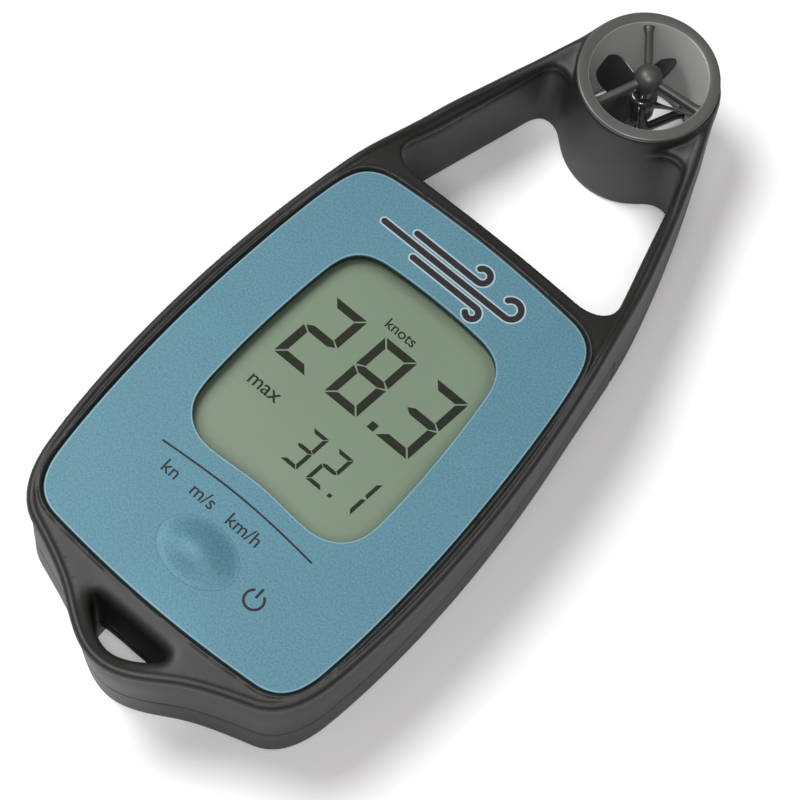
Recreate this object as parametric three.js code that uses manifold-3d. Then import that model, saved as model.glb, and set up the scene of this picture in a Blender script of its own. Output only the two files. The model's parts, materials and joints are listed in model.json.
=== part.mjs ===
// Handheld weather meter: a palm-sized wind meter with a display, one domed key, a thumb loop
// for a lanyard and a small vane turbine carried on two arms above the body.
//
// Frame: millimetres. The meter lies on its back: +Z leaves the display face, +Y points from the
// lanyard loop to the turbine and +X is to the right of the display. The origin is under the middle
// of the part, on the surface it lies on.
import * as THREE from "three";
import { mergeVertices } from "three/addons/utils/BufferGeometryUtils.js";
import Module from "manifold-3d";

const wasm = await Module();
wasm.setup();

// ---------------------------------------------------------------- driving dimensions
const LENGTH = 135.6; // lanyard tip to turbine
const WIDTH = 57.6; // widest point of the body
const FACE_Z = 22.5; // top of the printed overlay
const BORDER_Z = 23; // top of the raised border round the overlay
const SPLIT_Z = 8.3; // where the front and rear housings meet
const SKIN = 1.8; // housing wall under the overlay and across the back
const LIP = 2.6; // height of the rounded lip that runs round the front
const LIP_OVERHANG = 0.5; // how far the lip stands out past the side wall
const LIP_ROUND = 0.8; // edge rounding of the lip
const FIT = 0.15; // gap left round every loose part

const TUBE_R = 11.1; // outside of the turbine housing
const TUBE_Y = LENGTH / 2 - TUBE_R; // its axis
const RIM_Z = 22.2; // top of the turbine rim
const BORE_R = 10.25; // hole the turbine cartridge drops into
const SLEEVE_R = 10.1; // outside of the cartridge
const DUCT_R = 9.2; // air passage
const HANDLE_Y = 22; // beyond this the arms and the turbine housing are full height
const DIP = 3.8; // how far the arms drop below the face between the body and the turbine

const KEY = { y: -46.2, rx: 6.7, ry: 4.8, rise: 1.6 };
const CELL = { y: -22, r: 10, z: 4.7, height: 3.2 }; // coin cell
const COVER_R = 12.4; // battery cover
const SCREW_SPOTS = [[21.2, 9.2], [-21.2, 9.2], [20.4, -46.5], [-20.4, -46.5]];
const BOARD = { z: 13.2, thickness: 1.2 };
const PANEL = { y: -13.6, width: 35, length: 44, z: 17.4, thickness: 2.2 }; // liquid crystal cell

// ---------------------------------------------------------------- colours
const finish = (colour, roughness, metalness = 0, extra = {}) =>
  new THREE.MeshStandardMaterial({ color: colour, roughness, metalness, ...extra });
const LOOK = {
  housing: finish(0x3a3a39, 0.5),
  cartridge: finish(0x5e5f5e, 0.42),
  overlay: finish(0x6a9aaa, 0.45),
  clear: finish(0xdfe8e2, 0.05, 0, { transparent: true, opacity: 0.3 }),
  panel: finish(0x84957c, 0.3),
  black: finish(0x161617, 0.25),
  rubber: finish(0x1c1c1c, 0.8),
  board: finish(0x1f5a34, 0.5),
  chip: finish(0x202022, 0.45),
  steel: finish(0xb9bbbd, 0.25, 1),
  zinc: finish(0x8d8f92, 0.35, 1),
  brass: finish(0xb08d4a, 0.35, 1),
  magnet: finish(0x4a4b4e, 0.35, 0.8),
};

// ---------------------------------------------------------------- solids from geometry
function solid(geometry) {
  const bare = geometry.clone();
  bare.deleteAttribute("normal");
  bare.deleteAttribute("uv");
  const merged = mergeVertices(bare, 1e-4);
  return new wasm.Manifold(new wasm.Mesh({
    numProp: 3,
    vertProperties: new Float32Array(merged.attributes.position.array),
    triVerts: new Uint32Array(merged.index.array),
  }));
}

function geometryOf(made) {
  const mesh = made.getMesh();
  const geometry = new THREE.BufferGeometry();
  geometry.setAttribute("position", new THREE.BufferAttribute(mesh.vertProperties, 3));
  geometry.setIndex(new THREE.BufferAttribute(mesh.triVerts, 1));
  geometry.computeVertexNormals();
  return geometry;
}

const join = (first, ...others) => others.reduce((sum, next) => sum.add(next), first);
const cut = (first, ...others) => others.reduce((rest, next) => rest.subtract(next), first);

// A closed outline of Vector2 points as a prism from z0 to z1.
function prism(points, z0, z1) {
  const shape = new THREE.Shape(points);
  const geometry = new THREE.ExtrudeGeometry(shape, { depth: z1 - z0, bevelEnabled: false });
  return solid(geometry.translate(0, 0, z0));
}

// The same with both rims rounded inwards.
function roundedPrism(points, z0, z1, round, segments = 2) {
  const geometry = new THREE.ExtrudeGeometry(new THREE.Shape(points), {
    depth: z1 - z0 - 2 * round,
    bevelThickness: round,
    bevelSize: round,
    bevelOffset: -round,
    bevelSegments: segments,
  });
  return solid(geometry.translate(0, 0, z0 + round));
}

function box(x0, x1, y0, y1, z0, z1) {
  const geometry = new THREE.BoxGeometry(x1 - x0, y1 - y0, z1 - z0);
  return solid(geometry.translate((x0 + x1) / 2, (y0 + y1) / 2, (z0 + z1) / 2));
}

const block = (x, y, width, length, z0, z1) =>
  box(x - width / 2, x + width / 2, y - length / 2, y + length / 2, z0, z1);

function drum(x, y, radius, z0, z1, sides = 32) {
  const geometry = new THREE.CylinderGeometry(radius, radius, z1 - z0, sides);
  return solid(geometry.rotateX(Math.PI / 2).translate(x, y, (z0 + z1) / 2));
}

// A solid of revolution about Z: profile is a list of [radius, z], starting and ending on the axis.
function turned(profile, x, y, sides = 32) {
  const points = profile.map(([r, z]) => new THREE.Vector2(r, z));
  const geometry = new THREE.LatheGeometry(points, sides);
  return solid(geometry.rotateX(Math.PI / 2).translate(x, y, 0));
}

// ---------------------------------------------------------------- outlines
const STEPS = 6; // straight stretches per curve

// Each outline is drawn down its right side, from the turbine end to the lanyard end, then mirrored.
function mirrored(draw, x, y) {
  const path = new THREE.Path();
  path.moveTo(x, y);
  draw(path);
  const right = path.getPoints(STEPS);
  const left = right.filter((p) => p.x > 1e-6).reverse().map((p) => new THREE.Vector2(-p.x, p.y));
  return right.concat(left).reverse();
}

// Moves each point of a closed outline along its own normal; a positive distance makes it larger.
function offset(points, distance) {
  return points.map((point, i) => {
    const before = points[(i + points.length - 1) % points.length];
    const after = points[(i + 1) % points.length];
    const along = after.clone().sub(before).normalize();
    return new THREE.Vector2(point.x + along.y * distance, point.y - along.x * distance);
  });
}

// The whole meter seen from the front.
function meterOutline() {
  const tip = -LENGTH / 2;
  const leave = THREE.MathUtils.degToRad(25); // where the arms' outer edge leaves the turbine housing
  const start = [TUBE_R * Math.cos(leave), TUBE_Y + TUBE_R * Math.sin(leave)];
  const reach = 11.4;
  return mirrored((p) => {
    p.absarc(0, TUBE_Y, TUBE_R, Math.PI / 2, leave, true);
    p.bezierCurveTo(start[0] + reach * Math.sin(leave), start[1] - reach * Math.cos(leave),
      WIDTH / 2, 18.1, WIDTH / 2, -25.1);
    p.bezierCurveTo(WIDTH / 2, -35.1, 28, -43.1, 27.2, -48.1);
    p.bezierCurveTo(26.6, -52.1, 24.8, -56.5, 21, -58.1);
    p.bezierCurveTo(17.8, -59.3, 13.2, -61, 10, -63.2);
    p.bezierCurveTo(7.2, -65.1, 4, tip, 0, tip);
  }, 0, TUBE_Y + TUBE_R);
}

const METER = meterOutline();

const OVERLAY = mirrored((p) => {
  p.quadraticCurveTo(8.5, 17.8, 16.5, 17.1);
  p.bezierCurveTo(20.3, 16.8, 22.4, 15.2, 23.3, 11.4);
  p.bezierCurveTo(24.5, 6.9, 26.3, -10.1, 26.3, -25.1);
  p.bezierCurveTo(26.3, -34, 25.9, -42, 25, -48.6);
  p.bezierCurveTo(24.3, -52.6, 22.6, -54.9, 19, -55.4);
  p.quadraticCurveTo(9, -56.4, 0, -56.4);
}, 0, 17.9);

const WINDOW = mirrored((p) => {
  p.quadraticCurveTo(5, 6.1, 9, 5.7);
  p.bezierCurveTo(12.6, 5.3, 14.7, 3.6, 15.3, -0.6);
  p.bezierCurveTo(15.9, -5, 16.6, -13, 16.6, -20.6);
  p.bezierCurveTo(16.6, -24, 16.6, -26, 16.3, -27.6);
  p.bezierCurveTo(15.8, -31, 13, -33.3, 9.2, -33.3);
  p.bezierCurveTo(6, -33.3, 3.5, -32.8, 0, -32.8);
}, 0, 6.1);

// The grip opening between the body, the two arms and the turbine housing.
const GRIP = mirrored((p) => {
  const edge = 7; // half width of the turbine housing that shows in the opening
  const drop = Math.sqrt(TUBE_R ** 2 - edge ** 2);
  p.absarc(0, TUBE_Y, TUBE_R, -Math.PI / 2, Math.atan2(-drop, edge), false);
  p.bezierCurveTo(8.6, 49.1, 9.6, 50.3, 11.3, 50.3);
  p.bezierCurveTo(12.7, 50.3, 13.2, 49.4, 13.7, 48.1);
  p.lineTo(20.1, 25.6);
  p.bezierCurveTo(21.2, 22.4, 19.4, 20.3, 15.8, 20.2);
  p.quadraticCurveTo(8, 20.6, 0, 20.6);
}, 0, TUBE_Y - TUBE_R);

const LANYARD = mirrored((p) => {
  p.lineTo(5.4, -59.6);
  p.bezierCurveTo(7.4, -59.6, 7.9, -60.8, 6.2, -62.3);
  p.bezierCurveTo(4.4, -64, 2, -65.4, 0, -65.4);
}, 0, -59.6);

function oval(rx, ry, y, sides = 40) {
  const ellipse = new THREE.EllipseCurve(0, y, rx, ry);
  return ellipse.getPoints(sides).slice(0, -1);
}

// Opens the back of the lanyard hole towards the body, so that a cord's knot clears the bench.
function lanyardRelief() {
  const height = 5;
  const shift = 1.7;
  return prism(LANYARD, -1, height).warp((v) => {
    v[0] *= 0.88;
    v[1] += shift * (1 - v[2] / height);
  });
}

const CAVITY = offset(OVERLAY, -0.3);
const SEAL_INNER = offset(OVERLAY, 0.4);
const SEAL_OUTER = offset(OVERLAY, 1.2);

// ---------------------------------------------------------------- housings
// Shapes the upright walls: towards the back they lean outwards, slightly along the body and more
// along the arms, and the lanyard end draws in. The arms' top line dips between body and turbine.
function lean(made) {
  const { smoothstep, lerp } = THREE.MathUtils;
  const slices = []; // cross-sections give the long flat faces something to bend at
  let rest = made;
  for (const y of [15, 18, 21, 24, 27, 31, 42, 46, 50, 54, 58]) {
    const [above, below] = rest.splitByPlane([0, 1, 0], y);
    slices.push(below);
    rest = above;
  }
  slices.push(rest);
  const bend = (v) => {
    const [x, y, z] = v;
    const depth = 1 - z / BORDER_Z;
    v[0] += Math.sign(x) * lerp(0.3, 1.3, smoothstep(y, 6, 30)) * Math.min(1, Math.abs(x) / 12) * depth;
    v[1] += 1.5 * smoothstep(-y, 54, 66) * depth;
    const dip = DIP * smoothstep(y, 15, 31) - (DIP - 2.2) * smoothstep(y, 42, 60);
    v[2] -= dip * smoothstep(z, BORDER_Z - LIP - 6, BORDER_Z - LIP);
  };
  return join(...slices.filter((slice) => !slice.isEmpty()).map((slice) => slice.warp(bend)));
}

const SENSOR = { x: -12.3, y: TUBE_Y - 3.6, z: 9.5 }; // rotor sensor, beside the turbine bore
const LEAD_Z = 11.2;
const LEAD_PATH = [[-20.6, 14], [-21.8, 19], [-21.6, 25], [-18.2, 37], [-15.3, 47], [-12.6, 52.4]]
  .map(([x, y]) => new THREE.Vector2(x, y));

// A flat bar that follows LEAD_PATH, from the board's corner along the left arm.
function leadBar(width, height) {
  const centre = new THREE.SplineCurve(LEAD_PATH).getPoints(14);
  const side = (sign) => centre.map((point, i) => {
    const a = centre[Math.max(0, i - 1)];
    const b = centre[Math.min(centre.length - 1, i + 1)];
    const along = b.clone().sub(a).normalize();
    return new THREE.Vector2(point.x + sign * along.y * width / 2, point.y - sign * along.x * width / 2);
  });
  return prism(side(1).concat(side(-1).reverse()), LEAD_Z - height / 2, LEAD_Z + height / 2);
}

// The grip opening: a straight mouth under which its walls step back and then lean slightly.
function gripCutter() {
  const undercut = prism(offset(GRIP, 0.3), -1, BORDER_Z - LIP - DIP).warp((v) => {
    v[0] *= 1 + 0.02 * (1 - v[2] / BORDER_Z);
  });
  return join(prism(GRIP, -1, 40), undercut);
}

function frontHousing() {
  const lip = roundedPrism(METER, BORDER_Z - LIP, BORDER_Z, LIP_ROUND);
  const sides = offset(METER, -LIP_OVERHANG);
  const bodyWall = prism(sides, SPLIT_Z, BORDER_Z - 1);
  const handle = prism(sides, 0, BORDER_Z - 1).intersect(box(-40, 40, HANDLE_Y, 80, -1, 40));
  const outside = lean(cut(join(lip, bodyWall, handle), prism(LANYARD, -1, 40)));
  const tube = drum(0, TUBE_Y, TUBE_R, 0, RIM_Z - 0.8, 56);
  const key = oval(KEY.rx + FIT, KEY.ry + FIT, KEY.y);
  const bosses = SCREW_SPOTS.map(([x, y]) => drum(x, y, 2.4, SPLIT_Z, FACE_Z - SKIN - 0.3, 20));
  const pilots = SCREW_SPOTS.map(([x, y]) => drum(x, y, 1.05, 0, 17, 12));
  const shell = cut(
    outside,
    gripCutter(),
    prism(CAVITY, SPLIT_Z - 1, FACE_Z - 0.4 - SKIN),
    prism(OVERLAY, FACE_Z - 0.4, FACE_Z + 5),
    prism(WINDOW, 0, 40),
    prism(key, 0, 40),
    cut(prism(offset(SEAL_OUTER, 0.1), SPLIT_Z - 1, SPLIT_Z + 0.9), prism(offset(SEAL_INNER, -0.1), 0, 20)),
  );
  return cut(
    join(shell, tube, ...bosses),
    drum(0, TUBE_Y, BORE_R, -1, 40, 56),
    leadBar(0.9, 1.9),
    block(SENSOR.x, SENSOR.y, 2, 4.2, SENSOR.z - 1.6, SENSOR.z + 3.2),
    ...pilots,
  );
}

const WELL = { ledge: 1, roof: 2.9, entry: 44, lugs: 3, lugR: 13.4 }; // bayonet seat of the battery cover

// Equal wedges of a ring about the battery's axis, each span degrees wide and centred on start + k * 120.
function wedges(inner, outer, z0, z1, span, start) {
  return Array.from({ length: WELL.lugs }, (_, k) => {
    const middle = THREE.MathUtils.degToRad(start + k * 360 / WELL.lugs);
    const half = THREE.MathUtils.degToRad(span / 2);
    const ring = new THREE.Shape();
    ring.absarc(0, 0, outer, middle - half, middle + half, false);
    ring.absarc(0, 0, inner, middle + half, middle - half, true);
    return prism(ring.getPoints(8).map((p) => new THREE.Vector2(p.x, p.y + CELL.y)), z0, z1);
  });
}

function rearHousing() {
  const sides = offset(METER, -LIP_OVERHANG);
  const holes = join(prism(LANYARD, -1, 40), lanyardRelief());
  const blank = cut(roundedPrism(sides, 0, SPLIT_Z + 2, 1.2), holes);
  const outside = lean(blank.intersect(box(-40, 40, -80, HANDLE_Y - FIT, -1, SPLIT_Z)));
  const well = drum(0, CELL.y, 15.2, 0, SPLIT_Z - 0.8, 48);
  const bosses = SCREW_SPOTS.map(([x, y]) => drum(x, y, 3.8, 0, SPLIT_Z, 24));
  const walls = cut(outside, gripCutter(), prism(CAVITY, SKIN, SPLIT_Z + 1));
  const inside = prism(offset(CAVITY, 0.5), 0.5, SPLIT_Z);
  return cut(
    join(walls, well, ...bosses.map((boss) => boss.intersect(inside))),
    drum(0, CELL.y, COVER_R + 0.2, -1, 20, 48),
    drum(0, CELL.y, WELL.lugR + 0.3, WELL.ledge, WELL.roof, 48),
    ...wedges(COVER_R - 1, WELL.lugR + 0.3, -1, WELL.ledge + 0.5, WELL.entry, 60),
    ...SCREW_SPOTS.map(([x, y]) => drum(x, y, 2.5, -1, 4, 20)),
    ...SCREW_SPOTS.map(([x, y]) => drum(x, y, 1.3, 0, 20, 12)),
  );
}

function housingSeal() {
  return cut(prism(SEAL_OUTER, SPLIT_Z, SPLIT_Z + 0.8), prism(SEAL_INNER, 0, 20));
}

function housingScrew([x, y]) {
  const head = 2.2;
  const shank = turned([[0, 3.9], [1, 3.9], [1, 13], [0.3, 14.5], [0, 14.5]], x, y, 12);
  const recess = join(block(x, y, 2.4, 0.6, 1, 2.9), block(x, y, 0.6, 2.4, 1, 2.9));
  return cut(join(drum(x, y, head, 2.2, 3.95, 20), shank), recess);
}

// ---------------------------------------------------------------- face, key and display
function faceOverlay() {
  return cut(prism(offset(OVERLAY, -FIT), FACE_Z - 0.4, FACE_Z), prism(WINDOW, 0, 40),
    prism(oval(KEY.rx + FIT, KEY.ry + FIT, KEY.y), 0, 40));
}

function displayWindow() {
  return prism(offset(WINDOW, -FIT), FACE_Z - 1.6, FACE_Z - 0.4);
}

function modeButton() {
  const dome = new THREE.SphereGeometry(1, 32, 10).rotateX(Math.PI / 2)
    .scale(KEY.rx, KEY.ry, KEY.rise).translate(0, KEY.y, FACE_Z);
  const cap = join(solid(dome), prism(oval(KEY.rx, KEY.ry, KEY.y), FACE_Z - 3, FACE_Z));
  const flange = prism(oval(KEY.rx + 0.9, KEY.ry + 0.9, KEY.y), FACE_Z - 3.4, FACE_Z - 2.35);
  return join(cap, flange);
}

function buttonPlunger() {
  return drum(0, KEY.y, 1.6, 17.4, FACE_Z - 3.4, 20);
}

function switchBase() {
  const top = 16.6;
  const body = block(0, KEY.y, 6, 6, BOARD.z + BOARD.thickness, top - 0.6);
  return join(body, drum(0, KEY.y, 1.7, top - 1, top, 20));
}

function lcdCarrier() {
  const { y, width, length, z, thickness } = PANEL;
  const outer = block(0, y, width + 2, length + 2, z - 2.9, z + thickness + 0.6);
  const pocket = block(0, y, width + 2 * FIT, length + 2 * FIT, z, z + 10);
  return cut(outer, pocket, block(0, y, width - 1.4, length - 0.6, 0, 30));
}

const lcdPanel = () =>
  block(0, PANEL.y, PANEL.width, PANEL.length, PANEL.z, PANEL.z + PANEL.thickness);

// Conductive rubber strip that joins one edge of the liquid crystal cell to the board.
const zebraStrip = (end) =>
  block(0, PANEL.y + end * (PANEL.length / 2 - 1.8), PANEL.width - 2, 1.8,
    BOARD.z + BOARD.thickness, PANEL.z);

// ---------------------------------------------------------------- electronics
function mainBoard() {
  const outline = mirrored((p) => {
    p.lineTo(17.2, 13.6);
    p.lineTo(23.6, -10);
    p.lineTo(23.9, -40);
    p.lineTo(21, -51.5);
    p.lineTo(0, -52.5);
  }, 0, 13.6);
  const top = BOARD.z + BOARD.thickness;
  const holes = SCREW_SPOTS.map(([x, y]) => drum(x, y, 3, BOARD.z - 1, top + 1, 20));
  return cut(prism(outline, BOARD.z, top), ...holes);
}

const mcuChip = () => block(-12, -41, 7, 7, BOARD.z + BOARD.thickness, BOARD.z + BOARD.thickness + 1.2);
const BOARD_TOP = BOARD.z + BOARD.thickness;
const quartzCrystal = () => block(12.5, -42, 3.2, 6.4, BOARD_TOP, BOARD_TOP + 1.6);
const capacitor = (x) => block(x, -39.4, 2, 1.25, BOARD.z + BOARD.thickness, BOARD.z + BOARD.thickness + 1);
const rotorSensor = () => block(SENSOR.x, SENSOR.y, 1.5, 3, SENSOR.z - 0.3, SENSOR.z + 2.6);
const sensorLead = () => leadBar(0.6, 1.6).intersect(box(-40, 40, -80, SENSOR.y - 1.8, 0, 40));

const coinCell = () => turned([[0, CELL.z], [8.4, CELL.z], [8.6, CELL.z + 0.3], [CELL.r, CELL.z + 0.6],
  [CELL.r, CELL.z + CELL.height], [0, CELL.z + CELL.height]], 0, CELL.y, 40);

// Sprung arm that reaches down from the board to the middle of the cell.
function negativeContact() {
  const top = BOARD.z;
  const foot = CELL.z + CELL.height + 0.05;
  const side = [[6, top], [0.4, top], [-3.4, foot + 0.4], [-4.8, foot + 1.2], [-5.1, foot + 0.9],
    [-3.5, foot], [0.5, top - 0.4], [6, top - 0.4]].map(([x, z]) => new THREE.Vector2(x, z));
  const strip = new THREE.ExtrudeGeometry(new THREE.Shape(side), { depth: 5, bevelEnabled: false });
  return solid(strip.rotateX(Math.PI / 2).translate(3, CELL.y + 2.5, 0));
}

// Clip that stands beside the cell and presses on its rim.
function positiveContact() {
  const outer = CELL.r + 0.65;
  return join(
    block(-outer - 0.2 + 0.45, CELL.y, 0.5, 6, CELL.z, BOARD.z),
    block(-outer + 2.2, CELL.y, 4.4, 6, BOARD.z - 0.4, BOARD.z),
  );
}

// ---------------------------------------------------------------- battery cover
function batteryCover() {
  const low = 0.2;
  const disc = drum(0, CELL.y, COVER_R, low, 2.6, 48);
  const boss = drum(0, CELL.y, 11, 2, 4.4, 40);
  const lugs = wedges(COVER_R - 1, WELL.lugR, WELL.ledge + 0.25, WELL.roof - 0.3, 38, 0);
  const coinSlot = block(0, CELL.y, 13, 1.8, -1, 1.3);
  return cut(join(disc, boss, ...lugs), coinSlot, drum(0, CELL.y, 9.6, 3.2, 9, 40));
}

function coverSeal() {
  const ring = new THREE.TorusGeometry(11.8, 0.62, 8, 40);
  return solid(ring.translate(0, CELL.y, 3.3));
}

// ---------------------------------------------------------------- turbine
const ROTOR = { top: 16.5, bottom: 10.5, hubR: 2.3, tipR: 8.9, blades: 5, first: 172, sweep: 32 };
const STRUT_ANGLES = [7, 127, 247];

// A bar along the radius at an angle in degrees, from r0 to r1.
function strut(angle, width, r0, r1, z0, z1) {
  const bar = new THREE.BoxGeometry(r1 - r0, width, z1 - z0).translate((r0 + r1) / 2, 0, (z0 + z1) / 2);
  return solid(bar.rotateZ(THREE.MathUtils.degToRad(angle)).translate(0, TUBE_Y, 0));
}

function turbineSleeve() {
  const body = turned([[0, 0.4], [SLEEVE_R, 0.4], [SLEEVE_R, RIM_Z - 0.8], [TUBE_R - 0.1, RIM_Z - 0.8],
    [TUBE_R - 0.1, RIM_Z - 0.35], [TUBE_R - 0.35, RIM_Z - 0.1], [TUBE_R - 0.6, RIM_Z], [0, RIM_Z]],
    0, TUBE_Y, 56);
  return cut(body, turned([[0, 0], [DUCT_R + 0.2, 0], [DUCT_R, 4], [DUCT_R, RIM_Z - 0.5],
    [DUCT_R + 0.3, RIM_Z + 0.1], [0, RIM_Z + 0.1]], 0, TUBE_Y, 56));
}

function upperSpider() {
  const hub = turned([[0, 19.4], [2, 19.4], [2.3, 20], [2.4, 21.4], [2.1, 22.6], [1.3, 23.3], [0, 23.5]],
    0, TUBE_Y, 28);
  const arms = STRUT_ANGLES.map((a) => strut(a, 1.3, 1, DUCT_R - 0.05, 20.2, 21.8));
  return cut(join(hub, ...arms), drum(0, TUBE_Y, 1.3, 10, 21, 20));
}

function lowerSpider() {
  const hub = turned([[0, 0.6], [1.4, 0.7], [2.2, 1.4], [2.4, 2.4], [2.4, 5.4], [0, 5.4]], 0, TUBE_Y, 28);
  const arms = STRUT_ANGLES.map((a) => strut(a + 60, 1.3, 1, DUCT_R - 0.05, 1.4, 3.6));
  return cut(join(hub, ...arms), drum(0, TUBE_Y, 1.3, 4.2, 9, 20));
}

// Flanged bearing bushes with a blind seat for the shaft's point.
function upperBearing() {
  const bush = join(drum(0, TUBE_Y, 1.25, 19.2, 20.9, 20), drum(0, TUBE_Y, 1.7, 17.2, 19.3, 24));
  return cut(bush, drum(0, TUBE_Y, 0.62, 17, 20.4, 16));
}

function lowerBearing() {
  const bush = join(drum(0, TUBE_Y, 1.25, 4.3, 5.6, 20), drum(0, TUBE_Y, 1.7, 5.5, 9.6, 24));
  return cut(bush, drum(0, TUBE_Y, 0.62, 4.8, 10, 16));
}

const impellerShaft = () => turned([[0, 4.9], [0.25, 5.3], [0.5, 6], [0.5, 19.2], [0.25, 19.9], [0, 20.3]],
  0, TUBE_Y, 16);

const rotorMagnet = () => cut(drum(0, TUBE_Y, 1.5, ROTOR.bottom + 0.6, ROTOR.bottom + 2.6, 20),
  drum(0, TUBE_Y, 0.6, 0, 40, 16));

// One vane: a twisted plate whose chord turns about the axis as it drops through the rotor's depth.
function vane(angle) {
  const across = 6;
  const along = 5;
  const thickness = [0.75, 0.45]; // root and tip
  const positions = [];
  const vertex = (i, j, face) => {
    const r = THREE.MathUtils.lerp(ROTOR.hubR - 0.6, ROTOR.tipR, i / across);
    const tipRound = 1 - 0.16 * (i / across) ** 3;
    const s = (j / along - 0.5) * tipRound;
    const z = (ROTOR.top + ROTOR.bottom) / 2 - s * (ROTOR.top - ROTOR.bottom - 0.4);
    const turn = THREE.MathUtils.degToRad(angle + s * ROTOR.sweep * Math.min(1.5, 0.75 + 2 / r));
    const half = THREE.MathUtils.lerp(...thickness, i / across) / 2 * (j === 0 || j === along ? 0.4 : 1);
    const shift = face * half;
    return [r * Math.cos(turn) - shift * Math.sin(turn), r * Math.sin(turn) + shift * Math.cos(turn), z];
  };
  const quad = (a, b, c, d) => positions.push(...a, ...c, ...b, ...a, ...d, ...c);
  for (let i = 0; i < across; i++) {
    for (let j = 0; j < along; j++) {
      quad(vertex(i, j, 1), vertex(i, j + 1, 1), vertex(i + 1, j + 1, 1), vertex(i + 1, j, 1));
      quad(vertex(i, j, -1), vertex(i + 1, j, -1), vertex(i + 1, j + 1, -1), vertex(i, j + 1, -1));
    }
    quad(vertex(i, 0, 1), vertex(i + 1, 0, 1), vertex(i + 1, 0, -1), vertex(i, 0, -1));
    quad(vertex(i, along, -1), vertex(i + 1, along, -1), vertex(i + 1, along, 1), vertex(i, along, 1));
  }
  for (let j = 0; j < along; j++) {
    quad(vertex(0, j, -1), vertex(0, j + 1, -1), vertex(0, j + 1, 1), vertex(0, j, 1));
    quad(vertex(across, j, 1), vertex(across, j + 1, 1), vertex(across, j + 1, -1), vertex(across, j, -1));
  }
  const geometry = new THREE.BufferGeometry();
  geometry.setAttribute("position", new THREE.Float32BufferAttribute(positions, 3));
  return solid(geometry.translate(0, TUBE_Y, 0));
}

function impeller() {
  const { top, bottom, hubR, blades, first } = ROTOR;
  const hub = turned([[0, bottom], [hubR - 0.3, bottom], [hubR, bottom + 0.5], [hubR - 0.2, 13.5],
    [hubR, top - 0.5], [hubR - 0.4, top], [0, top]], 0, TUBE_Y, 28);
  const vanes = Array.from({ length: blades }, (_, k) => vane(first + k * 360 / blades));
  return cut(join(hub, ...vanes), drum(0, TUBE_Y, 0.6, 0, 40, 16),
    drum(0, TUBE_Y, 1.6, ROTOR.bottom + 0.5, ROTOR.bottom + 2.7, 20));
}

// ---------------------------------------------------------------- the part
const meter = new THREE.Group();

function add(name, made, look) {
  const mesh = new THREE.Mesh(geometryOf(made), look);
  mesh.name = name;
  meter.add(mesh);
}

add("front_housing", frontHousing(), LOOK.housing);
add("rear_housing", rearHousing(), LOOK.housing);
add("housing_seal", housingSeal(), LOOK.rubber);
SCREW_SPOTS.forEach((spot, k) => add(`housing_screw_${k + 1}`, housingScrew(spot), LOOK.steel));

add("face_overlay", faceOverlay(), LOOK.overlay);
add("display_window", displayWindow(), LOOK.clear);
add("mode_button", modeButton(), LOOK.overlay);
add("button_plunger", buttonPlunger(), LOOK.black);
add("key_switch", switchBase(), LOOK.black);

add("lcd_panel", lcdPanel(), LOOK.panel);
add("lcd_carrier", lcdCarrier(), LOOK.black);
add("zebra_strip_upper", zebraStrip(1), LOOK.rubber);
add("zebra_strip_lower", zebraStrip(-1), LOOK.rubber);

add("main_board", mainBoard(), LOOK.board);
add("controller_chip", mcuChip(), LOOK.chip);
add("quartz_crystal", quartzCrystal(), LOOK.zinc);
[-4, 0, 4].forEach((x, k) => add(`capacitor_${k + 1}`, capacitor(x), LOOK.brass));
add("rotor_sensor", rotorSensor(), LOOK.chip);
add("sensor_lead", sensorLead(), LOOK.rubber);

add("coin_cell", coinCell(), LOOK.steel);
add("battery_contact_negative", negativeContact(), LOOK.zinc);
add("battery_contact_positive", positiveContact(), LOOK.zinc);
add("battery_cover", batteryCover(), LOOK.housing);
add("battery_cover_seal", coverSeal(), LOOK.rubber);

add("turbine_sleeve", turbineSleeve(), LOOK.cartridge);
add("upper_spider", upperSpider(), LOOK.cartridge);
add("lower_spider", lowerSpider(), LOOK.cartridge);
add("upper_bearing", upperBearing(), LOOK.steel);
add("lower_bearing", lowerBearing(), LOOK.steel);
add("impeller", impeller(), LOOK.black);
add("impeller_shaft", impellerShaft(), LOOK.steel);
add("rotor_magnet", rotorMagnet(), LOOK.magnet);

export default meter;
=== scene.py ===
"""Looks of the handheld wind meter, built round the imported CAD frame.

Everything is drawn in millimetres in the CAD frame (+X right of the display, +Y from the lanyard loop
to the turbine, +Z out of the display face) and scaled to metres when a mesh is made.
"""

import json
import math

import bpy
import numpy as np
import openvdb
from mathutils import Matrix, Vector
from mathutils.geometry import delaunay_2d_cdt


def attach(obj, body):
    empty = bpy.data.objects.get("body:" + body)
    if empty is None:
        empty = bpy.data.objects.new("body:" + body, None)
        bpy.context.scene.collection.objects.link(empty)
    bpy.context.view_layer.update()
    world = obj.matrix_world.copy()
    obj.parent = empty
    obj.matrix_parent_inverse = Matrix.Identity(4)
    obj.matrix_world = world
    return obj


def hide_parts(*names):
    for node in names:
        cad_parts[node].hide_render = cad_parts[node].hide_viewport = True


MM = 0.001

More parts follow.
